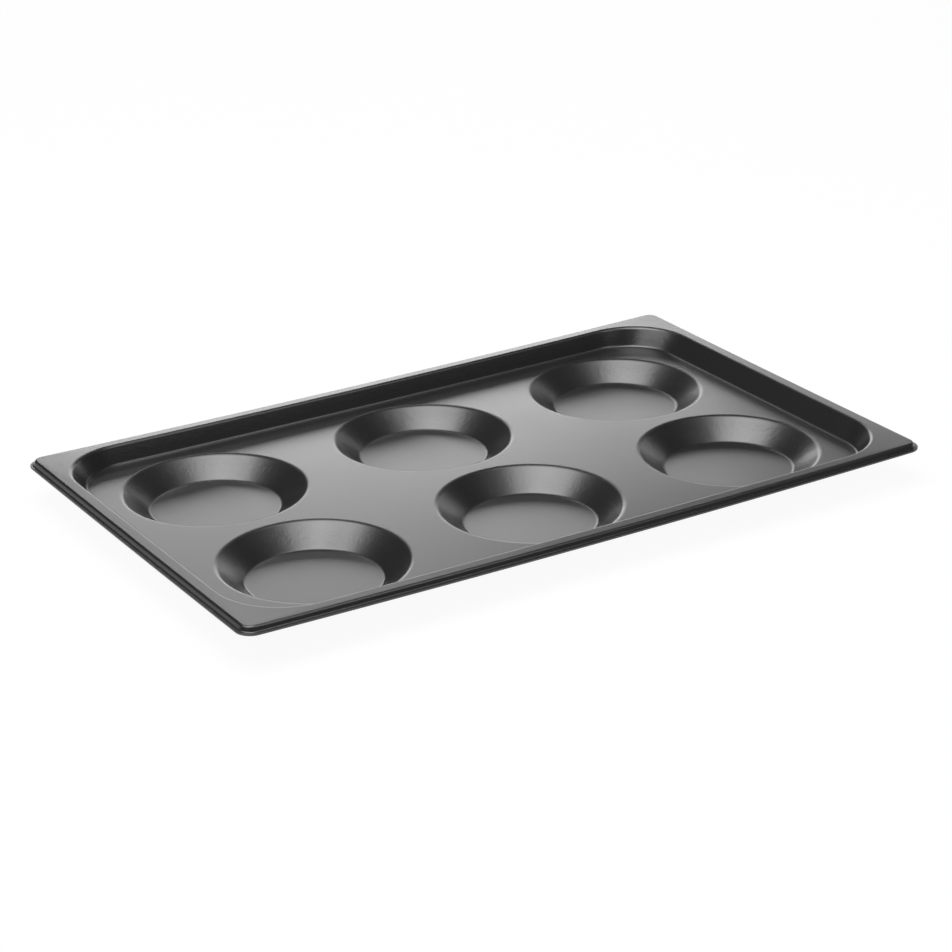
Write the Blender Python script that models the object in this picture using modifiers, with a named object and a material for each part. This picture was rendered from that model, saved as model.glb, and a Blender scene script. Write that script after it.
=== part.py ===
"""Pancake baking tray, drawn in one piece from aluminium sheet with a non-stick coating.

Metres, +Z up. The tray stands on the undersides of its six moulds, which lie at z = 0. The origin is
under the middle of the plan, +X runs along the long side and +Y along the short side.

The sheet is modelled as its upper face, an open surface, and then thickened downwards. From the outside
in, that face is a narrow lip, a short skirt, a flat flange, the sloping wall of the well, the well's
floor, and six turned moulds sunk in the floor.
"""

import math

import bmesh
import bpy

# Plan over the outside of the lip: the 1/1 size that catering ovens and racks are made for.
LENGTH = 0.530
WIDTH = 0.325
CORNER_RADIUS = 0.011

# Sheet, and the depths measured on its upper face.
SHEET_THICKNESS = 0.0015
SKIRT_DEPTH = 0.0037
WELL_DEPTH = 0.0135
MOULD_DEPTH = 0.0140

# Rim section. Widths are measured between the corners that the section has before rounding.
LIP_WIDTH = 0.0020
SKIRT_SLOPE = math.radians(66)
FLANGE_WIDTH = 0.0087
LIP_FILLET = 0.0010
FLANGE_EDGE_RADIUS = 0.0019

# Well. The walls at its ends lean out further than those along its sides. Its plan corners are a little
# wider at the flange than at the floor, and the rounding at the wall's head opens out in them.
END_WALL_SLOPE = math.radians(53)
SIDE_WALL_SLOPE = math.radians(66)
OPENING_CORNER_RADIUS = 0.048
FLOOR_CORNER_RADIUS = 0.040
WELL_EDGE_RADIUS = 0.0024
WELL_EDGE_CORNER_RADIUS = 0.0036
WELL_FLOOR_FILLET = 0.0030

# Moulds, in columns along X and rows along Y.
MOULD_COLUMNS = 3
MOULD_ROWS = 2
MOULD_PITCH_X = 0.1660
MOULD_PITCH_Y = 0.1400
MOULD_MOUTH_RADIUS = 0.0633
MOULD_WALL_SLOPE = math.radians(38)
MOULD_EDGE_RADIUS = 0.0020
MOULD_FLOOR_FILLET = 0.0040

# Heights of the upper face.
MOULD_FLOOR_HEIGHT = SHEET_THICKNESS
WELL_FLOOR_HEIGHT = MOULD_FLOOR_HEIGHT + MOULD_DEPTH
FLANGE_HEIGHT = WELL_FLOOR_HEIGHT + WELL_DEPTH
LIP_HEIGHT = FLANGE_HEIGHT - SKIRT_DEPTH

# Distances in from the outer edge.
SKIRT_RUN = SKIRT_DEPTH / math.tan(SKIRT_SLOPE)
OPENING_INSET = LIP_WIDTH + SKIRT_RUN + FLANGE_WIDTH
END_FOOT_INSET = OPENING_INSET + WELL_DEPTH / math.tan(END_WALL_SLOPE)
SIDE_FOOT_INSET = OPENING_INSET + WELL_DEPTH / math.tan(SIDE_WALL_SLOPE)

# The middle of an arc that rounds a square corner is this many radii from the corner's point.
ARC_SETBACK = math.sqrt(2) - 1

# Fineness of the mesh.
SEGMENTS_PER_CORNER = 12
SEGMENTS_PER_FILLET = 3
MOULD_SEGMENTS = 36
SAME_PLACE = 1e-6

COATING_COLOUR = (0.028, 0.028, 0.029, 1.0)
COATING_ROUGHNESS = 0.38
COATING_METALLIC = 0.35
SMOOTH_BELOW = math.radians(32)


def clear_scene():
    """Removes every object of the open scene."""
    for item in list(bpy.data.objects):
        bpy.data.objects.remove(item, do_unlink=True)


def coating_material():
    """Returns the dark grey satin coating."""
    material = bpy.data.materials.new("non_stick_coating")
    material.use_nodes = True
    shader = material.node_tree.nodes["Principled BSDF"]
    shader.inputs["Base Color"].default_value = COATING_COLOUR
    shader.inputs["Roughness"].default_value = COATING_ROUGHNESS
    shader.inputs["Metallic"].default_value = COATING_METALLIC
    material.diffuse_color = COATING_COLOUR
    return material


def rounded(corners, radii):
    """Returns a path through the corners, each inner corner replaced by an arc of its own radius.

    The corners are (across, height) pairs. radii holds one radius for each inner corner.
    """
    path = [corners[0]]
    for before, corner, after, radius in zip(corners, corners[1:], corners[2:], radii):
        heading_in = math.atan2(corner[1] - before[1], corner[0] - before[0])
        heading_out = math.atan2(after[1] - corner[1], after[0] - corner[0])
        turn = math.remainder(heading_out - heading_in, math.tau)
        tangent = radius * math.tan(abs(turn) / 2)
        side = math.copysign(1.0, turn)
        centre_across = corner[0] - tangent * math.cos(heading_in) - side * radius * math.sin(heading_in)
        centre_height = corner[1] - tangent * math.sin(heading_in) + side * radius * math.cos(heading_in)
        for step in range(SEGMENTS_PER_FILLET + 1):
            heading = heading_in + turn * step / SEGMENTS_PER_FILLET
            across = centre_across + side * radius * math.sin(heading)
            height = centre_height - side * radius * math.cos(heading)
            path.append((across, height))
    path.append(corners[-1])
    return path


def rim_section(edge, wall_head, wall_foot, head_radius):
    """Returns the section from the lip's edge in to the floor, as (distance in, height).

    edge, wall_head and wall_foot are the distances in to the lip's edge and to the wall's two ends, and
    head_radius rounds the wall's head.
    """
    corners = [
        (edge, LIP_HEIGHT),
        (edge + LIP_WIDTH, LIP_HEIGHT),
        (edge + LIP_WIDTH + SKIRT_RUN, FLANGE_HEIGHT),
        (wall_head, FLANGE_HEIGHT),
        (wall_foot, WELL_FLOOR_HEIGHT),
        (WIDTH / 2, WELL_FLOOR_HEIGHT),
    ]
    path = rounded(corners, [LIP_FILLET, FLANGE_EDGE_RADIUS, head_radius, WELL_FLOOR_FILLET])
    # The floor is filled later, so its middle is left out.
    return path[:-1]


def rim_sections():
    """Returns the rim's sections across an end, along a corner's diagonal, and across a side."""
    diagonal_edge = ARC_SETBACK * CORNER_RADIUS
    diagonal_head = math.sqrt(2) * OPENING_INSET + ARC_SETBACK * OPENING_CORNER_RADIUS
    diagonal_foot = (END_FOOT_INSET + SIDE_FOOT_INSET) / math.sqrt(2) + ARC_SETBACK * FLOOR_CORNER_RADIUS
    return (
        rim_section(0.0, OPENING_INSET, END_FOOT_INSET, WELL_EDGE_RADIUS),
        rim_section(diagonal_edge, diagonal_head, diagonal_foot, WELL_EDGE_CORNER_RADIUS),
        rim_section(0.0, OPENING_INSET, SIDE_FOOT_INSET, WELL_EDGE_RADIUS),
    )


def rim_ring(end, diagonal, side):
    """Returns a closed ring around the tray through the same point of its three sections.

    The radius of the ring's corners is the one that takes them through the diagonal section's point.
    """
    radius = (diagonal[0] - (end[0] + side[0]) / math.sqrt(2)) / ARC_SETBACK
    centre_x = LENGTH / 2 - end[0] - radius
    centre_y = WIDTH / 2 - side[0] - radius
    points = []
    for quarter, (sign_x, sign_y) in enumerate([(1, 1), (-1, 1), (-1, -1), (1, -1)]):
        for step in range(SEGMENTS_PER_CORNER + 1):
            angle = math.pi / 2 * (quarter + step / SEGMENTS_PER_CORNER)
            # 1 where the corner meets an end, 0 at its middle, and -1 where it meets a side.
            lean = math.cos(2 * angle)
            height = diagonal[1]
            height += max(lean, 0.0) * (end[1] - diagonal[1])
            height += max(-lean, 0.0) * (side[1] - diagonal[1])
            x = sign_x * centre_x + radius * math.cos(angle)
            y = sign_y * centre_y + radius * math.sin(angle)
            points.append((x, y, height))
    return points


def loft_rim(mesh):
    """Adds the lip, skirt, flange and wall, as rings joined point to point from the outside in."""
    rings = []
    for end, diagonal, side in zip(*rim_sections()):
        rings.append([mesh.verts.new(point) for point in rim_ring(end, diagonal, side)])
    for outer, inner in zip(rings, rings[1:]):
        for index in range(len(outer)):
            mesh.faces.new((outer[index - 1], outer[index], inner[index], inner[index - 1]))


def mould_section():
    """Returns the section of a mould from its mouth in to its axis, as (radius, height)."""
    wall_foot = MOULD_MOUTH_RADIUS - MOULD_DEPTH / math.tan(MOULD_WALL_SLOPE)
    corners = [
        (MOULD_MOUTH_RADIUS + MOULD_EDGE_RADIUS, WELL_FLOOR_HEIGHT),
        (MOULD_MOUTH_RADIUS, WELL_FLOOR_HEIGHT),
        (wall_foot, MOULD_FLOOR_HEIGHT),
        (0.0, MOULD_FLOOR_HEIGHT),
    ]
    # The floor around the mouth is filled later, so the section starts where the edge's arc does.
    return rounded(corners, [MOULD_EDGE_RADIUS, MOULD_FLOOR_FILLET])[1:]


def spin_mould(mesh, centre_x, centre_y):
    """Adds one mould, its section spun about an upright axis."""
    profile = [mesh.verts.new((centre_x + radius, centre_y, height)) for radius, height in mould_section()]
    edges = [mesh.edges.new(pair) for pair in zip(profile, profile[1:])]
    bmesh.ops.spin(
        mesh,
        geom=profile + edges,
        cent=(centre_x, centre_y, 0.0),
        axis=(0.0, 0.0, 1.0),
        angle=math.tau,
        steps=MOULD_SEGMENTS,
        use_merge=True,
    )


def fill_floor(mesh):
    """Fills the floor between the foot of the wall and the mouths of the moulds."""
    loops = [
        edge
        for edge in mesh.edges
        if edge.is_boundary
        and all(abs(vert.co.z - WELL_FLOOR_HEIGHT) < SAME_PLACE for vert in edge.verts)
    ]
    bmesh.ops.triangle_fill(mesh, edges=loops, use_beauty=True, normal=(0.0, 0.0, 1.0))


def upper_face():
    """Returns the mesh of the sheet's upper face, which is open only at the lip's edge."""
    mesh = bmesh.new()
    loft_rim(mesh)
    for column in range(MOULD_COLUMNS):
        for row in range(MOULD_ROWS):
            centre_x = MOULD_PITCH_X * (column - (MOULD_COLUMNS - 1) / 2)
            centre_y = MOULD_PITCH_Y * (row - (MOULD_ROWS - 1) / 2)
            spin_mould(mesh, centre_x, centre_y)
    bmesh.ops.remove_doubles(mesh, verts=mesh.verts, dist=SAME_PLACE)
    fill_floor(mesh)
    bmesh.ops.recalc_face_normals(mesh, faces=mesh.faces)
    highest = max(mesh.faces, key=lambda face: face.calc_center_median().z)
    if highest.normal.z < 0:
        bmesh.ops.reverse_faces(mesh, faces=mesh.faces)
    data = bpy.data.meshes.new("pressed_tray")
    mesh.to_mesh(data)
    mesh.free()
    return data


def pressed_tray(collection):
    """Makes the tray: its upper face, thickened downwards to the sheet's thickness."""
    data = upper_face()
    data.shade_smooth()
    data.set_sharp_from_angle(angle=SMOOTH_BELOW)
    data.materials.append(coating_material())
    tray = bpy.data.objects.new("pressed_tray", data)
    collection.objects.link(tray)
    solidify = tray.modifiers.new("sheet", "SOLIDIFY")
    solidify.thickness = SHEET_THICKNESS
    solidify.offset = -1.0
    solidify.use_even_offset = True
    solidify.use_rim = True


def main():
    """Builds the tray in a collection of its own."""
    clear_scene()
    collection = bpy.data.collections.new("pancake_baking_tray")
    bpy.context.scene.collection.children.link(collection)
    pressed_tray(collection)


main()
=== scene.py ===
"""Pancake baking tray, pressed in one piece and finished in a dark satin coating, in a pale studio.

Metres, +Z up. The sheet is drawn as its upper face and then thickened downwards. Two node trees shape
that face: one lofts the rim through three sections, the other turns a mould and sets out its copies.
"""

import logging
import math
from dataclasses import dataclass, field
from enum import Enum
from typing import Any, NamedTuple, TypeVar

import bmesh
import bpy
from mathutils import Matrix, Quaternion, Vector
from mathutils.geometry import delaunay_2d_cdt


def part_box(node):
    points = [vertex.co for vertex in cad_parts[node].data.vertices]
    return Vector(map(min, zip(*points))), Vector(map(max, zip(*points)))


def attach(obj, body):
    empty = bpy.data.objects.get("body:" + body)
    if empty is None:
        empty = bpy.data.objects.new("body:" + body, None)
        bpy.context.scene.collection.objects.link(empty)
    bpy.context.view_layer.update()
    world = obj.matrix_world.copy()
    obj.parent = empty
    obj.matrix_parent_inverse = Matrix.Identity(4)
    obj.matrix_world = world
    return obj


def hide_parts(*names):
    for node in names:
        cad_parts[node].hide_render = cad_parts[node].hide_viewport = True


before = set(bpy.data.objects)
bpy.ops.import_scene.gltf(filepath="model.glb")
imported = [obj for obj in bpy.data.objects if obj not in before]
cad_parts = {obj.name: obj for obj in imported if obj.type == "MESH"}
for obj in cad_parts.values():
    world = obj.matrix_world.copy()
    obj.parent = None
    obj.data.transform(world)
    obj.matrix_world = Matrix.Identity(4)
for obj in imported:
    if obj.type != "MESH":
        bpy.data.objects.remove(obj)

LOG = logging.getLogger("pancake_tray")

NODE = "pressed_tray"
MM = 0.001

# Points nearer to each other than this are one point.
WELD = 0.001 * MM

# How far the middle of an arc in a square corner is from the corner's point, in radii.
ARC_SETBACK = math.sqrt(2) - 1

# Red, green, blue and opacity.
Colour = tuple[float, float, float, float]


class Section(Enum):
    """The cuts across the rim that the sheet is lofted through, in the order they are stored."""

    END = 0
    DIAGONAL = 1
    SIDE = 2


class Ray(Enum):
    """The kinds of light path that see the studio as plain white."""

    CAMERA = "Is Camera Ray"
    GLOSSY = "Is Glossy Ray"
    TRANSMISSION = "Is Transmission Ray"


class Bend(NamedTuple):
    """A corner of a section: how far across it lies, how high, and the radius that rounds it."""

    across: float
    height: float
    radius: float = 0.0

    def point(self) -> Vector:
        """Places the corner itself."""
        return Vector((self.across, 0.0, self.height))


@dataclass
class Bench:
    """A node tree in the making."""

    tree: bpy.types.NodeTree

    def node(
        self,
        kind: str,
        settings: dict[str, Any] | None = None,
        inputs: dict[int | str, Any] | None = None,
    ) -> bpy.types.Node:
        """Adds a node, sets it and then feeds its sockets.

        Args:
            kind: The node's type.
            settings: Its own properties, set before its sockets are fed.
            inputs: A constant or a source for each socket, by name or place.

        Returns:
            The node.
        """
        node = self.tree.nodes.new(kind)
        for name, setting in (settings or {}).items():
            setattr(node, name, setting)
        for place, given in (inputs or {}).items():
            source = given.socket if isinstance(given, Value) else given
            if isinstance(source, bpy.types.NodeSocket):
                self.tree.links.new(source, node.inputs[place])
            else:
                node.inputs[place].default_value = source
        return node

    def value(
        self,
        kind: str,
        settings: dict[str, Any] | None = None,
        inputs: dict[int | str, Any] | None = None,
        output: int | str = 0,
    ) -> "Value":
        """Adds a node as node() does and hands on one of its outputs.

        Args:
            kind: The node's type.
            settings: Its own properties.
            inputs: What its sockets take.
            output: The output wanted, by name or place.

        Returns:
            That output.
        """
        return Value(self, self.node(kind, settings, inputs).outputs[output])


@dataclass(frozen=True)
class Value:
    """An output socket that Python's operators work on, each adding a Math node."""

    bench: Bench
    socket: bpy.types.NodeSocket

    def maths(self, operation: str, *operands: "Value | float") -> "Value":
        """Adds a Math node.

        Args:
            operation: Its operation.
            operands: What it works on, in order.

        Returns:
            Its result.
        """
        return self.bench.value("ShaderNodeMath", {"operation": operation}, dict(enumerate(operands)))

    def __add__(self, other: "Value | float") -> "Value":
        """Adds."""
        return self.maths("ADD", self, other)

    def __radd__(self, other: float) -> "Value":
        """Adds to a number."""
        return self.maths("ADD", other, self)

    def __sub__(self, other: "Value | float") -> "Value":
        """Subtracts."""
        return self.maths("SUBTRACT", self, other)

    def __rsub__(self, other: float) -> "Value":
        """Subtracts from a number."""
        return self.maths("SUBTRACT", other, self)

    def __mul__(self, other: "Value | float") -> "Value":
        """Multiplies."""
        return self.maths("MULTIPLY", self, other)

    def __rmul__(self, other: float) -> "Value":
        """Multiplies a number."""
        return self.maths("MULTIPLY", other, self)

    def __truediv__(self, other: "Value | float") -> "Value":
        """Divides."""
        return self.maths("DIVIDE", self, other)

    def __rtruediv__(self, other: float) -> "Value":
        """Divides a number."""
        return self.maths("DIVIDE", other, self)

    def __mod__(self, other: "Value | float") -> "Value":
        """Takes the remainder."""
        return self.maths("MODULO", self, other)

    def __neg__(self) -> "Value":
        """Turns the sign."""
        return self.maths("MULTIPLY", self, -1.0)

    def floor(self) -> "Value":
        """Rounds down."""
        return self.maths("FLOOR", self)

    def sine(self) -> "Value":
        """Takes the sine of an angle in radians."""
        return self.maths("SINE", self)

    def cosine(self) -> "Value":
        """Takes the cosine of an angle in radians."""
        return self.maths("COSINE", self)

    def sign(self) -> "Value":
        """Gives 1 above zero and -1 below it."""
        return self.maths("SIGN", self)

    def least(self, other: "Value | float") -> "Value":
        """Takes the smaller of two."""
        return self.maths("MINIMUM", self, other)

    def most(self, other: "Value | float") -> "Value":
        """Takes the larger of two."""
        return self.maths("MAXIMUM", self, other)

    def within_one(self) -> "Value":
        """Holds the value between 0 and 1."""
        return self.most(0.0).least(1.0)

    def part(self, letter: str) -> "Value":
        """Takes the X, Y or Z of a vector."""
        return self.bench.value("ShaderNodeSeparateXYZ", inputs={0: self}, output=letter)


# A distance that is either a number or a value in a node tree.
Length = TypeVar("Length", float, Value)


def corner_radius_of(inset: dict[Section, Length]) -> Length:
    """Works out the radius that a ring has at its corners.

    Args:
        inset: How far in from the sheet's plan the ring lies at each section.

    Returns:
        The radius.
    """
    square_corner = (inset[Section.END] + inset[Section.SIDE]) / math.sqrt(2)
    return (inset[Section.DIAGONAL] - square_corner) / ARC_SETBACK


def direction(azimuth: float, elevation: float) -> Vector:
    """Points from the tray towards a lamp or the camera.

    Args:
        azimuth: Degrees round from the front, to the right.
        elevation: Degrees up from the floor.

    Returns:
        A vector of length 1.
    """
    bearing = math.radians(azimuth)
    climb = math.radians(elevation)
    level = math.cos(climb)
    return Vector((math.sin(bearing) * level, -math.cos(bearing) * level, math.sin(climb)))


def add_object(name: str, data: bpy.types.ID) -> bpy.types.Object:
    """Puts a mesh, a light or a camera into the scene.

    Args:
        name: The new object's name.
        data: What it holds.

    Returns:
        The object.
    """
    added = bpy.data.objects.new(name, data)
    bpy.context.scene.collection.objects.link(added)
    return added


def add_sheet(name: str, mesh: bmesh.types.BMesh, finish: bpy.types.Material) -> bpy.types.Object:
    """Puts an open sheet into the scene, smooth and with its faces pointing up on the whole.

    Args:
        name: The new object's name.
        mesh: The sheet in the making, which is freed.
        finish: Its material.

    Returns:
        The object.
    """
    bmesh.ops.recalc_face_normals(mesh, faces=mesh.faces)
    if sum(face.normal.z * face.calc_area() for face in mesh.faces) < 0:
        bmesh.ops.reverse_faces(mesh, faces=mesh.faces)
    data = bpy.data.meshes.new(name)
    mesh.to_mesh(data)
    mesh.free()
    data.shade_smooth()
    # Clearing sets every face to the first slot, which the node trees' faces aren't all in.
    data.materials.clear()
    data.materials.append(finish)
    return add_object(name, data)


@dataclass
class ShapingTree:
    """A geometry node tree that turns the points of a section into a surface."""

    name: str
    sizes: dict[str, float | int]
    bench: Bench = field(init=False)
    start: bpy.types.Node = field(init=False)

    def __post_init__(self) -> None:
        """Makes the tree with an input for the points, one for each size and one for the finish."""
        tree = bpy.data.node_groups.new(self.name, "GeometryNodeTree")
        tree.interface.new_socket("Points", in_out="INPUT", socket_type="NodeSocketGeometry")
        for name, size in self.sizes.items():
            kind = "NodeSocketInt" if isinstance(size, int) else "NodeSocketFloat"
            tree.interface.new_socket(name, in_out="INPUT", socket_type=kind)
        tree.interface.new_socket("Finish", in_out="INPUT", socket_type="NodeSocketMaterial")
        tree.interface.new_socket("Surface", in_out="OUTPUT", socket_type="NodeSocketGeometry")
        self.bench = Bench(tree)
        self.start = self.bench.node("NodeGroupInput")

    def given(self, name: str) -> Value:
        """Reads one of the tree's inputs."""
        return Value(self.bench, self.start.outputs[name])

    def point(self, index: Value) -> Value:
        """Reads the position of one of the section's points.

        Args:
            index: Which point, which may differ all over the surface.

        Returns:
            Its position.
        """
        place = self.bench.value("GeometryNodeInputPosition")
        return self.bench.value(
            "GeometryNodeSampleIndex",
            {"data_type": "FLOAT_VECTOR", "domain": "POINT"},
            {"Geometry": self.given("Points"), "Value": place, "Index": index},
        )

    def finish(self, surface: Value) -> None:
        """Ends the tree: the surface made real, merged, smooth and given its finish.

        Args:
            surface: The geometry to hand on.
        """
        real = self.bench.value("GeometryNodeRealizeInstances", inputs={0: surface})
        whole = self.bench.value("GeometryNodeMergeByDistance", inputs={0: real, "Distance": WELD})
        smooth = self.bench.value("GeometryNodeSetShadeSmooth", inputs={0: whole})
        made = {0: smooth, "Material": self.given("Finish")}
        dressed = self.bench.value("GeometryNodeSetMaterial", inputs=made)
        self.bench.node("NodeGroupOutput", inputs={0: dressed})

    def shape(self, points: list[Vector], finish: bpy.types.Material) -> bpy.types.Mesh:
        """Runs the tree once on a section.

        Args:
            points: The section's points.
            finish: The material of the surface.

        Returns:
            The surface as a plain mesh.
        """
        data = bpy.data.meshes.new(self.name)
        data.from_pydata(points, [], [])
        blank = add_object(self.name, data)
        modifier = blank.modifiers.new(self.name, "NODES")
        modifier.node_group = self.bench.tree
        given = {**self.sizes, "Finish": finish}
        for socket in self.bench.tree.interface.items_tree:
            if socket.in_out == "INPUT" and socket.name in given:
                modifier[socket.identifier] = given[socket.name]
        depsgraph = bpy.context.evaluated_depsgraph_get()
        surface = bpy.data.meshes.new_from_object(blank.evaluated_get(depsgraph))
        blank.modifiers.remove(modifier)
        bpy.data.objects.remove(blank)
        return surface


@dataclass(frozen=True)
class Noise:
    """A cloudy pattern: how many grains it has in a metre and how many finer octaves."""

    scale: float
    detail: float

    def at(self, place: Value) -> Value:
        """Adds the pattern to a material.

        Args:
            place: The coordinates it is read at.

        Returns:
            The pattern, about 0 to 1 and 0.5 on average.
        """
        given = {"Vector": place, "Scale": self.scale, "Detail": self.detail}
        return place.bench.value("ShaderNodeTexNoise", inputs=given)


@dataclass(frozen=True)
class CoatingFinish:
    """The satin non-stick coating: near black, finely grained, a little uneven in gloss.

    The press draws the sheet between its flats, which roughens it there. The flats lie at nearly even
    steps of height, so the height of a place says how far the sheet was drawn.
    """

    name: str = "non_stick_coating"
    dark: Colour = (0.0120, 0.0120, 0.0124, 1.0)
    pale: Colour = (0.0180, 0.0180, 0.0185, 1.0)
    ior: float = 1.75
    roughness: float = 0.30
    cloud: Noise = Noise(14.0, 3.0)
    cloud_roughness: float = 0.05
    grain: Noise = Noise(620.0, 2.0)
    grain_roughness: float = 0.08
    grain_depth: float = 0.09 * MM
    peel: Noise = Noise(190.0, 1.0)
    peel_depth: float = 0.09 * MM
    first_flat: float = 1.5 * MM
    flat_step: float = 13.75 * MM
    grain_on_flats: float = 0.03

    def material(self) -> bpy.types.Material:
        """Makes the material, patterned in the object's own metres.

        Returns:
            The material.
        """
        material = bpy.data.materials.new(self.name)
        material.use_nodes = True
        bench = Bench(material.node_tree)
        shader = material.node_tree.nodes["Principled BSDF"]
        place = bench.value("ShaderNodeTexCoord", output="Object")
        cloud = self.cloud.at(place)
        grain = self.grain.at(place)
        peel = self.peel.at(place)
        roughness = self.roughness + (cloud - 0.5) * self.cloud_roughness
        roughness += (grain - 0.5) * self.grain_roughness
        blend = {"Factor": grain, "A": self.dark, "B": self.pale}
        colour = bench.value("ShaderNodeMix", {"data_type": "RGBA"}, blend, "Result")
        # 0 on the flats and 1 halfway up the walls between them.
        wave = ((place.part("Z") - self.first_flat) * (math.pi / self.flat_step)).sine()
        drawn = wave * wave
        coarse = {"Height": peel * drawn, "Strength": 1.0, "Distance": self.peel_depth}
        peeled = bench.value("ShaderNodeBump", inputs=coarse)
        raised = grain * (drawn + self.grain_on_flats)
        fine = {"Height": raised, "Strength": 1.0, "Distance": self.grain_depth, "Normal": peeled}
        grained = bench.value("ShaderNodeBump", inputs=fine)
        shader.inputs["IOR"].default_value = self.ior
        bench.tree.links.new(colour.socket, shader.inputs["Base Color"])
        bench.tree.links.new(roughness.socket, shader.inputs["Roughness"])
        bench.tree.links.new(grained.socket, shader.inputs["Normal"])
        return material


@dataclass(frozen=True)
class Bow:
    """The slight warp that a wide pressing has: its middle crowned and its long sides drawn down."""

    side_drop: float = 2.35 * MM
    end_drop: float = 0.50 * MM
    crown: float = 3.05 * MM

    def lift(self, along: float, across: float) -> float:
        """Works out how far the warp lifts a place on the floor, the wall or the rim.

        Args:
            along: The place's distance from the middle towards an end, as a share of half the length.
            across: The same towards a side, as a share of half the width.

        Returns:
            The lift, which is negative where the sheet is drawn down.
        """
        free_along = 1 - along**2
        free_across = 1 - across**2
        drop = self.side_drop * free_along + self.end_drop * free_across
        return self.crown * free_along * free_across - drop


@dataclass
class PressedTray:
    """The tray: rim, well and moulds in one sheet.

    Its heights are those of the sheet's upper face. A radius at a bend is that face's own.
    """

    length: float
    width: float
    height: float
    finish: CoatingFinish = CoatingFinish()
    bow: Bow = Bow()
    sheet: float = 1.5 * MM
    corner_radius: float = 11.0 * MM
    skirt_depth: float = 3.7 * MM
    well_depth: float = 13.5 * MM
    lip_width: float = 2.0 * MM
    skirt_slope: float = math.radians(66)
    flange_width: float = 8.7 * MM
    flange_droop: float = 0.2 * MM
    lip_fillet: float = 1.0 * MM
    flange_edge_radius: float = 1.9 * MM
    end_wall_slope: float = math.radians(53)
    side_wall_slope: float = math.radians(66)
    opening_corner_radius: float = 48.0 * MM
    floor_corner_radius: float = 40.0 * MM
    well_edge_radius: float = 2.4 * MM
    well_edge_corner_radius: float = 3.6 * MM
    well_floor_fillet: float = 3.0 * MM
    mould_columns: int = 3
    mould_rows: int = 2
    mould_pitch_x: float = 166.0 * MM
    mould_pitch_y: float = 140.0 * MM
    mould_mouth_radius: float = 63.3 * MM
    mould_wall_slope: float = math.radians(38)
    mould_edge_radius: float = 5.5 * MM
    mould_floor_fillet: float = 4.0 * MM
    cut_edge_radius: float = 0.3 * MM
    cut_edge_steps: int = 2
    cut_edge_angle: float = math.radians(60)
    clearance: float = 0.04 * MM
    collar: float = 1.0 * MM
    hold: float = 0.25 * MM
    most_hold_share: float = 0.25
    floor_spacing: float = 5.0 * MM
    floor_margin_share: float = 0.7
    arc_steps: int = 7
    rim_divisions: tuple[int, ...] = (2, 2, 3, 4, 1)
    mould_divisions: tuple[int, ...] = (1, 6, 8)
    corner_segments: int = 22
    straight_segments: int = 40
    mould_segments: int = 96

    @classmethod
    def from_frame(cls) -> "PressedTray":
        """Takes the tray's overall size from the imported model."""
        low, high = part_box(NODE)
        clear = 2 * cls.clearance
        return cls(length=high.x - low.x - clear, width=high.y - low.y - clear, height=high.z)

    @property
    def floor_height(self) -> float:
        """Height of the well's floor."""
        return self.height - self.well_depth

    @property
    def rim_height(self) -> float:
        """Height of the lip."""
        return self.height - self.skirt_depth

    def path(self, bends: list[Bend], divisions: tuple[int, ...]) -> list[Vector]:
        """Rounds the bends of a section and divides the straights between them.

        Args:
            bends: The section's corners, of which the first and last are plain ends.
            divisions: How many lengths each straight is cut into between its two holding points.

        Returns:
            The section's points.
        """
        arcs = [[bends[0].point()]]
        for before, bend, after in zip(bends, bends[1:], bends[2:]):
            arcs.append(self.arc(before, bend, after))
        arcs.append([bends[-1].point()])
        points = list(arcs[0])
        for arc, following, count in zip(arcs, arcs[1:], divisions):
            # A point held close to an arc keeps the arc's shading off the straight beside it.
            start, end = arc[-1], following[0]
            hold = min(self.hold / (end - start).length, self.most_hold_share)
            first = hold if len(arc) > 1 else 1 / (count + 2)
            last = 1 - (hold if len(following) > 1 else 1 / (count + 2))
            points += [start.lerp(end, first + (last - first) * step / count) for step in range(count + 1)]
            points += following
        return points

    def arc(self, before: Bend, bend: Bend, after: Bend) -> list[Vector]:
        """Rounds one bend of a section.

        Args:
            before: The corner before it.
            bend: The corner to round.
            after: The corner after it.

        Returns:
            The arc's points.
        """
        across, height, radius = bend
        heading_in = math.atan2(height - before.height, across - before.across)
        heading_out = math.atan2(after.height - height, after.across - across)
        turn = math.remainder(heading_out - heading_in, math.tau)
        side = math.copysign(radius, turn)
        tangent = radius * math.tan(abs(turn) / 2)
        centre_across = across - tangent * math.cos(heading_in) - side * math.sin(heading_in)
        centre_height = height - tangent * math.sin(heading_in) + side * math.cos(heading_in)
        points = []
        for step in range(self.arc_steps + 1):
            heading = heading_in + turn * step / self.arc_steps
            x = centre_across + side * math.sin(heading)
            points.append(Vector((x, 0.0, centre_height - side * math.cos(heading))))
        return points

    def rim_section(self, edge: float, head: float, foot: float, head_radius: float) -> list[Vector]:
        """Draws the sheet's upper face from the lip's edge in to the floor.

        Args:
            edge: Distance in to the lip's edge.
            head: Distance in to the top of the wall.
            foot: Distance in to the foot of the wall.
            head_radius: Rounding at the top of the wall.

        Returns:
            The section's points, X being the distance in.
        """
        skirt_head = edge + self.lip_width + self.skirt_run
        steepness = math.atan2(self.well_depth, foot - head)
        floor_start = foot + self.well_floor_fillet * math.tan(steepness / 2)
        bends = [
            Bend(edge, self.rim_height),
            Bend(edge + self.lip_width, self.rim_height, self.lip_fillet),
            Bend(skirt_head, self.height - self.flange_droop, self.flange_edge_radius),
            Bend(head, self.height, head_radius),
            Bend(foot, self.floor_height, self.well_floor_fillet),
            Bend(floor_start + self.collar, self.floor_height),
        ]
        return self.path(bends, self.rim_divisions)

    @property
    def skirt_run(self) -> float:
        """How far the skirt leans in over its depth."""
        return self.skirt_depth / math.tan(self.skirt_slope)

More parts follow.
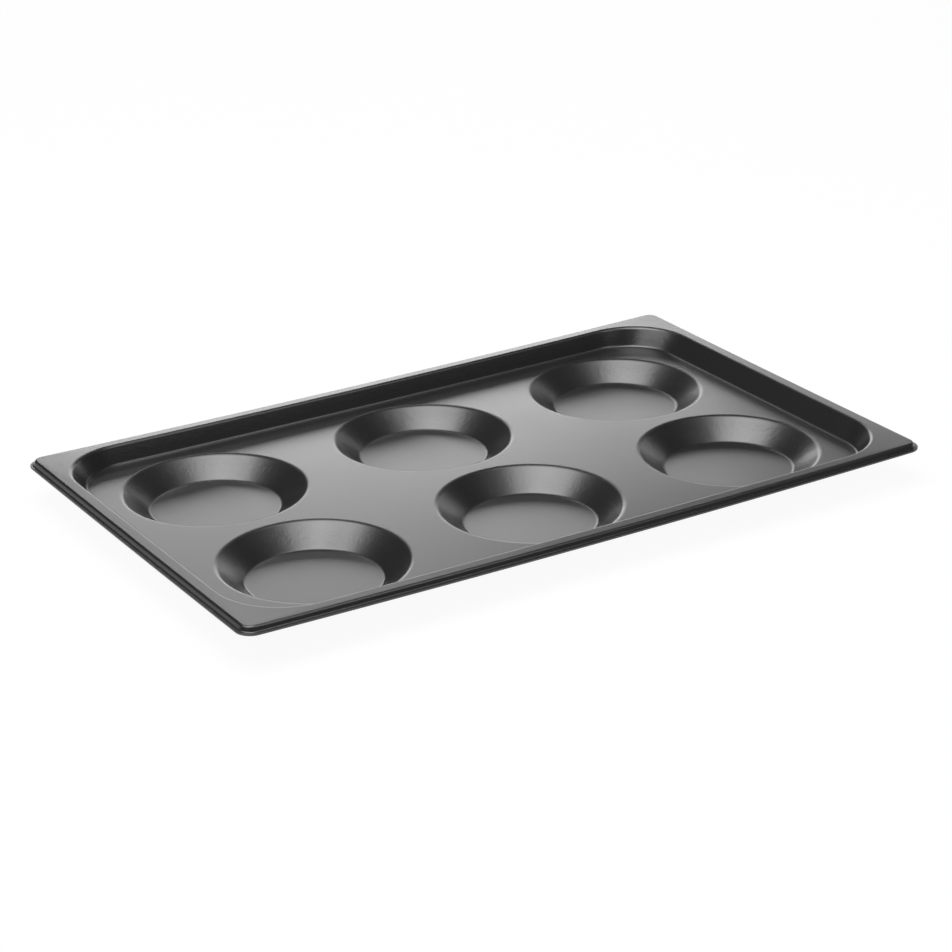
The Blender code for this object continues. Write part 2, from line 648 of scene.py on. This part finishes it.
    def rim_sections(self) -> dict[Section, list[Vector]]:
        """Draws the rim's three sections.

        Returns:
            Each section's points, as many in one as in another.
        """
        head = self.lip_width + self.skirt_run + self.flange_width
        end_foot = head + self.well_depth / math.tan(self.end_wall_slope)
        side_foot = head + self.well_depth / math.tan(self.side_wall_slope)
        edge = ARC_SETBACK * self.corner_radius
        diagonal_head = math.sqrt(2) * head + ARC_SETBACK * self.opening_corner_radius
        diagonal_foot = (end_foot + side_foot) / math.sqrt(2) + ARC_SETBACK * self.floor_corner_radius
        corner_edge = self.well_edge_corner_radius
        return {
            Section.END: self.rim_section(0.0, head, end_foot, self.well_edge_radius),
            Section.DIAGONAL: self.rim_section(edge, diagonal_head, diagonal_foot, corner_edge),
            Section.SIDE: self.rim_section(0.0, head, side_foot, self.well_edge_radius),
        }

    def rim(self, finish: bpy.types.Material) -> bpy.types.Mesh:
        """Lofts the rim, flange and wall.

        Args:
            finish: The coating.

        Returns:
            The surface, open at the lip's edge and at the floor.
        """
        sections = self.rim_sections()
        points = [point for section in Section for point in sections[section]]
        sizes = {
            "Length": self.length,
            "Width": self.width,
            "Section Points": len(sections[Section.END]),
            "Corner Segments": self.corner_segments,
            "Straight Segments": self.straight_segments,
        }
        tree = ShapingTree("lofted_rim", sizes)
        bench = tree.bench
        count = tree.given("Section Points")
        corner = tree.given("Corner Segments")
        straight = tree.given("Straight Segments")
        index = bench.value("GeometryNodeInputIndex")
        step_in = index % count
        step_round = (index / count).floor()
        cut = {section: tree.point(step_in + count * float(section.value)) for section in Section}
        inset = {section: place.part("X") for section, place in cut.items()}
        level = {section: place.part("Z") for section, place in cut.items()}
        # Each quarter of the ring is a corner followed by a straight.
        quarter = (step_round / (corner + straight)).floor()
        step = step_round % (corner + straight)
        turned = (step / corner).within_one()
        passed = ((step - corner) / straight).within_one()
        right = math.pi / 2
        angle = (quarter + turned) * right
        side_x = ((quarter + 0.5) * right).cosine().sign()
        side_y = ((quarter + 0.5) * right).sine().sign()
        next_x = ((quarter + 1.5) * right).cosine().sign()
        next_y = ((quarter + 1.5) * right).sine().sign()
        radius = corner_radius_of(inset)
        centre_x = tree.given("Length") / 2 - inset[Section.END] - radius
        centre_y = tree.given("Width") / 2 - inset[Section.SIDE] - radius
        # 1 where a corner meets an end, 0 at its middle and -1 where it meets a side.
        lean = (angle * 2).cosine()
        height = level[Section.DIAGONAL]
        height += lean.most(0.0) * (level[Section.END] - level[Section.DIAGONAL])
        height += (-lean).most(0.0) * (level[Section.SIDE] - level[Section.DIAGONAL])
        x = (side_x + (next_x - side_x) * passed) * centre_x + radius * angle.cosine()
        y = (side_y + (next_y - side_y) * passed) * centre_y + radius * angle.sine()
        place = bench.value("ShaderNodeCombineXYZ", inputs={0: x, 1: y, 2: height})
        round_count = (corner + straight) * 4 + 1
        grid = bench.value("GeometryNodeMeshGrid", inputs={"Vertices X": round_count, "Vertices Y": count})
        tree.finish(bench.value("GeometryNodeSetPosition", inputs={0: grid, "Position": place}))
        return tree.shape(points, finish)

    def mould_section(self) -> list[Vector]:
        """Draws a mould from the floor around its mouth in to its axis.

        Returns:
            The section's points, X being the distance from the axis.
        """
        wall_run = (self.floor_height - self.sheet) / math.tan(self.mould_wall_slope)
        mouth_edge = self.mould_mouth_radius + self.mould_edge_radius * math.tan(self.mould_wall_slope / 2)
        bends = [
            Bend(mouth_edge + self.collar, self.floor_height),
            Bend(self.mould_mouth_radius, self.floor_height, self.mould_edge_radius),
            Bend(self.mould_mouth_radius - wall_run, self.sheet, self.mould_floor_fillet),
            Bend(0.0, self.sheet),
        ]
        return self.path(bends, self.mould_divisions)

    def moulds(self, finish: bpy.types.Material) -> bpy.types.Mesh:
        """Turns a mould and sets its copies out in columns and rows.

        Args:
            finish: The coating.

        Returns:
            The moulds, each open around its mouth.
        """
        points = self.mould_section()
        sizes = {
            "Section Points": len(points),
            "Segments": self.mould_segments,
            "Columns": self.mould_columns,
            "Rows": self.mould_rows,
            "Pitch X": self.mould_pitch_x,
            "Pitch Y": self.mould_pitch_y,
        }
        tree = ShapingTree("turned_moulds", sizes)
        bench = tree.bench
        count = tree.given("Section Points")
        segments = tree.given("Segments")
        index = bench.value("GeometryNodeInputIndex")
        angle = (index / count).floor() / segments * math.tau
        cut = tree.point(index % count)
        x = cut.part("X") * angle.cosine()
        y = cut.part("X") * angle.sine()
        place = bench.value("ShaderNodeCombineXYZ", inputs={0: x, 1: y, 2: cut.part("Z")})
        grid = bench.value("GeometryNodeMeshGrid", inputs={"Vertices X": segments + 1, "Vertices Y": count})
        mould = bench.value("GeometryNodeSetPosition", inputs={0: grid, "Position": place})
        columns = tree.given("Columns")
        rows = tree.given("Rows")
        axes = bench.value(
            "GeometryNodeMeshGrid",
            inputs={
                "Size X": (columns - 1) * tree.given("Pitch X"),
                "Size Y": (rows - 1) * tree.given("Pitch Y"),
                "Vertices X": columns,
                "Vertices Y": rows,
            },
        )
        tree.finish(bench.value("GeometryNodeInstanceOnPoints", inputs={"Points": axes, "Instance": mould}))
        return tree.shape(points, finish)

    def mould_axes(self) -> list[Vector]:
        """Places the moulds' axes in plan."""
        return [
            Vector(
                (
                    self.mould_pitch_x * (column - (self.mould_columns - 1) / 2),
                    self.mould_pitch_y * (row - (self.mould_rows - 1) / 2),
                )
            )
            for column in range(self.mould_columns)
            for row in range(self.mould_rows)
        ]

    def fill_floor(self, mesh: bmesh.types.BMesh) -> None:
        """Fills the floor between the wall and the moulds with even triangles.

        Args:
            mesh: The sheet's upper face, with the rim and the moulds in it.
        """
        edges = [
            edge
            for edge in mesh.edges
            if edge.is_boundary and all(abs(vert.co.z - self.floor_height) < WELD for vert in edge.verts)
        ]
        rim = list({vert for edge in edges for vert in edge.verts})
        rim.sort(key=lambda vert: vert.index)
        order = {vert: number for number, vert in enumerate(rim)}
        loops = [tuple(order[vert] for vert in edge.verts) for edge in edges]
        plan = [vert.co.xy for vert in rim]
        plan += self.floor_points(plan)
        places, _, faces, sources, _, _ = delaunay_2d_cdt(plan, loops, [], 1, WELD)
        corners = []
        for place, source in zip(places, sources):
            known = [number for number in source if number < len(rim)]
            corners.append(rim[known[0]] if known else mesh.verts.new((*place, self.floor_height)))
        axes = self.mould_axes()
        mouth = self.mould_section()[0].x + self.hold
        for face in faces:
            # A triangle with all its corners on one mouth lies over that mould.
            reach = min(max((places[number] - axis).length for number in face) for axis in axes)
            if reach > mouth:
                mesh.faces.new([corners[number] for number in face])

    def floor_points(self, edge_points: list[Vector]) -> list[Vector]:
        """Spreads points over the open floor in a triangular pattern.

        Args:
            edge_points: The points around the floor and the moulds, which the new ones keep clear of.

        Returns:
            The new points.
        """
        reach = max(point.x for point in edge_points)
        depth = max(point.y for point in edge_points)
        axes = self.mould_axes()
        clear = self.floor_margin_share * self.floor_spacing
        rise = self.floor_spacing * math.sqrt(3) / 2
        rows = int(depth / rise)
        columns = int(reach / self.floor_spacing)
        radius = corner_radius_of({section: cut[-1].x for section, cut in self.rim_sections().items()})
        corner = Vector((reach - radius, depth - radius))
        points = []
        for row in range(-rows, rows + 1):
            for column in range(-columns, columns + 1):
                point = Vector(((column + row % 2 / 2) * self.floor_spacing, row * rise))
                past = Vector((max(abs(point.x) - corner.x, 0.0), max(abs(point.y) - corner.y, 0.0)))
                inside = past.length < radius - clear
                near = min((point - axis).length for axis in axes)
                if inside and near > self.mould_mouth_radius + self.collar + clear:
                    points.append(point)
        return points

    def warp(self, mesh: bmesh.types.BMesh) -> None:
        """Bows the sheet, leaving the moulds' floors flat on the table.

        Args:
            mesh: The sheet's upper face.
        """
        for vert in mesh.verts:
            share = min(max((vert.co.z - self.sheet) / (self.floor_height - self.sheet), 0.0), 1.0)
            along = vert.co.x / (self.length / 2)
            across = vert.co.y / (self.width / 2)
            vert.co.z += share * self.bow.lift(along, across)

    def build(self) -> bpy.types.Object:
        """Builds the tray and sets it in the frame.

        Returns:
            The tray's object.
        """
        coating = self.finish.material()
        mesh = bmesh.new()
        mesh.from_mesh(self.rim(coating))
        mesh.from_mesh(self.moulds(coating))
        self.fill_floor(mesh)
        bmesh.ops.remove_doubles(mesh, verts=mesh.verts, dist=WELD)
        self.warp(mesh)
        tray = add_sheet("coated_tray", mesh, coating)
        thickness = tray.modifiers.new("sheet", "SOLIDIFY")
        thickness.thickness = self.sheet
        thickness.offset = -1.0
        thickness.use_even_offset = True
        rounding = tray.modifiers.new("cut_edge", "BEVEL")
        rounding.width = self.cut_edge_radius
        rounding.segments = self.cut_edge_steps
        rounding.limit_method = "ANGLE"
        rounding.angle_limit = self.cut_edge_angle
        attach(tray, "root")
        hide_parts(NODE)
        return tray


@dataclass
class SoftLamp:
    """A softbox: a lit rectangle that faces the tray, with its place in degrees and metres."""

    name: str
    azimuth: float
    elevation: float
    distance: float
    width: float
    height: float
    radiance: float
    squared: bool = False

    def build(self) -> bpy.types.Object:
        """Hangs the lamp.

        Returns:
            The lamp's object.
        """
        light = bpy.data.lights.new(self.name, "AREA")
        light.shape = "RECTANGLE"
        light.size = self.width
        light.size_y = self.height
        # A lamp's watts are its radiance times pi times the area of its face.
        light.energy = self.radiance * math.pi * self.width * self.height
        lamp = add_object(self.name, light)
        back = direction(self.azimuth, self.elevation)
        lamp.location = back * self.distance
        lamp.rotation_mode = "QUATERNION"
        # A squared lamp is turned until its sides run along the room's.
        turn = math.radians(-self.azimuth) if self.squared else 0.0
        own = Quaternion((0.0, 0.0, 1.0), turn)
        lamp.rotation_quaternion = back.to_track_quat("Z", "Y") @ own
        lamp.visible_camera = False
        return lamp


@dataclass
class Studio:
    """The pale floor, the lamps and the camera, whose angles are in degrees and lens in millimetres."""

    floor_radius: float = 10.0
    floor_segments: int = 64
    cove_height: float = 0.75
    cove_depth: float = 0.8
    cove_steps: int = 8
    weld: float = 0.01 * MM
    gap: float = 0.5 * MM
    floor_colour: Colour = (0.95, 0.95, 0.95, 1.0)
    floor_roughness: float = 0.9
    floor_whiteness: float = 0.94
    ambient: float = 0.04
    azimuth: float = -31.589
    elevation: float = 23.163
    roll: float = -0.935
    distance: float = 1.9302
    aim_right: float = 0.60 * MM
    aim_up: float = -5.64 * MM
    aim_height: float = 15.5 * MM
    lens: float = 105.4
    sensor: float = 36.0
    lamps: list[SoftLamp] = field(
        # Each lamp's name, azimuth, elevation, distance, width, height and radiance.
        default_factory=lambda: [
            SoftLamp("overhead_left", 293.5, 75.9, 2.58, 0.65, 1.3, 6.71, squared=True),
            SoftLamp("overhead", 16.7, 84.0, 2.51, 0.65, 1.3, 4.69, squared=True),
            SoftLamp("overhead_back", 199.0, 72.9, 2.61, 1.3, 0.65, 3.52, squared=True),
            SoftLamp("overhead_right", 98.1, 74.2, 2.6, 0.6, 0.8, 1.50, squared=True),
            SoftLamp("left", 276.5, 50.0, 3.0, 2.85, 1.28, 2.20),
            SoftLamp("left_high", 248.5, 64.0, 3.0, 1.25, 0.63, 4.63),
            SoftLamp("front", 28.0, 48.0, 3.0, 1.08, 1.06, 3.04),
            SoftLamp("behind_low", 148.0, 10.5, 3.0, 1.92, 0.26, 3.17),
            SoftLamp("behind", 152.5, 17.0, 3.0, 1.38, 0.42, 3.79),
            SoftLamp("behind_top", 155.5, 23.0, 3.0, 1.02, 0.21, 3.58),
            SoftLamp("behind_top_right", 137.5, 23.0, 3.0, 0.73, 0.21, 1.70),
            SoftLamp("behind_high", 155.5, 35.5, 3.0, 0.91, 0.26, 2.87),
            SoftLamp("behind_right", 119.5, 19.0, 3.0, 2.01, 0.21, 1.80),
            SoftLamp("behind_low_right", 117.0, 10.5, 3.0, 1.36, 0.26, 1.62),
        ]
    )

    def floor(self) -> bpy.types.Object:
        """Makes the floor, a wide disc whose edge curves up all round.

        Returns:
            The floor's object.
        """
        mesh = bmesh.new()
        profile = [(0.0, 0.0), (self.floor_radius, 0.0)]
        for step in range(1, self.cove_steps + 1):
            turn = math.pi / 2 * step / self.cove_steps
            across = self.floor_radius + self.cove_depth * math.sin(turn)
            profile.append((across, self.cove_height * (1 - math.cos(turn))))
        points = [mesh.verts.new((across, 0.0, height - self.gap)) for across, height in profile]
        edges = [mesh.edges.new(pair) for pair in zip(points, points[1:])]
        bmesh.ops.spin(
            mesh,
            geom=points + edges,
            cent=(0.0, 0.0, 0.0),
            axis=(0.0, 0.0, 1.0),
            angle=math.tau,
            steps=self.floor_segments,
            use_merge=True,
        )
        bmesh.ops.remove_doubles(mesh, verts=mesh.verts, dist=self.weld)
        ground = add_sheet("studio_floor", mesh, self.floor_finish())
        return ground

    def floor_finish(self) -> bpy.types.Material:
        """Makes the floor's material: pale and matt, and mostly plain white where it is seen or reflected.

        Returns:
            The material.
        """
        material = bpy.data.materials.new("studio_white")
        material.use_nodes = True
        bench = Bench(material.node_tree)
        shader = material.node_tree.nodes["Principled BSDF"]
        path = bench.node("ShaderNodeLightPath")
        seen = Value(bench, path.outputs[Ray.CAMERA.value])
        for ray in (Ray.GLOSSY, Ray.TRANSMISSION):
            seen = seen.most(Value(bench, path.outputs[ray.value]))
        shader.inputs["Base Color"].default_value = self.floor_colour
        shader.inputs["Roughness"].default_value = self.floor_roughness
        shader.inputs["Specular IOR Level"].default_value = 0.0
        white = bench.value("ShaderNodeEmission", inputs={"Strength": 1.0})
        both = {0: seen * self.floor_whiteness, 1: shader.outputs[0], 2: white}
        surface = bench.value("ShaderNodeMixShader", inputs=both)
        bench.tree.links.new(surface.socket, material.node_tree.nodes["Material Output"].inputs["Surface"])
        return material

    def world(self) -> None:
        """Fills the room with a plain dim light."""
        world = bpy.data.worlds.new("studio")
        world.use_nodes = True
        background = world.node_tree.nodes["Background"]
        background.inputs["Color"].default_value = (self.ambient, self.ambient, self.ambient, 1.0)
        bpy.context.scene.world = world

    def camera(self) -> bpy.types.Object:
        """Sets up the camera at the photograph's angle.

        Returns:
            The camera's object.
        """
        turn = math.radians(self.azimuth)
        roll = math.radians(self.roll)
        back = direction(self.azimuth, self.elevation)
        level = Vector((math.cos(turn), math.sin(turn), 0.0))
        upright = back.cross(level)
        right = math.cos(roll) * level + math.sin(roll) * upright
        up = math.cos(roll) * upright - math.sin(roll) * level
        data = bpy.data.cameras.new("camera")
        data.sensor_width = self.sensor
        data.lens = self.lens
        camera = add_object("camera", data)
        aim = Vector((0.0, 0.0, self.aim_height)) + right * self.aim_right + up * self.aim_up
        camera.location = aim + back * self.distance
        camera.rotation_mode = "QUATERNION"
        camera.rotation_quaternion = Matrix((right, up, back)).transposed().to_quaternion()
        bpy.context.scene.camera = camera
        return camera

    def build(self) -> None:
        """Sets up the whole studio."""
        self.floor()
        self.world()
        self.camera()
        for lamp in self.lamps:
            lamp.build()
        bpy.context.scene.view_settings.view_transform = "Standard"


def main() -> None:
    """Builds the tray, then the studio around it."""
    logging.basicConfig(level=logging.INFO)
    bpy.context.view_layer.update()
    tray = PressedTray.from_frame().build()
    LOG.info("%s: %d faces before its thickness", tray.name, len(tray.data.polygons))
    Studio().build()


if __name__ == "__main__":
    main()
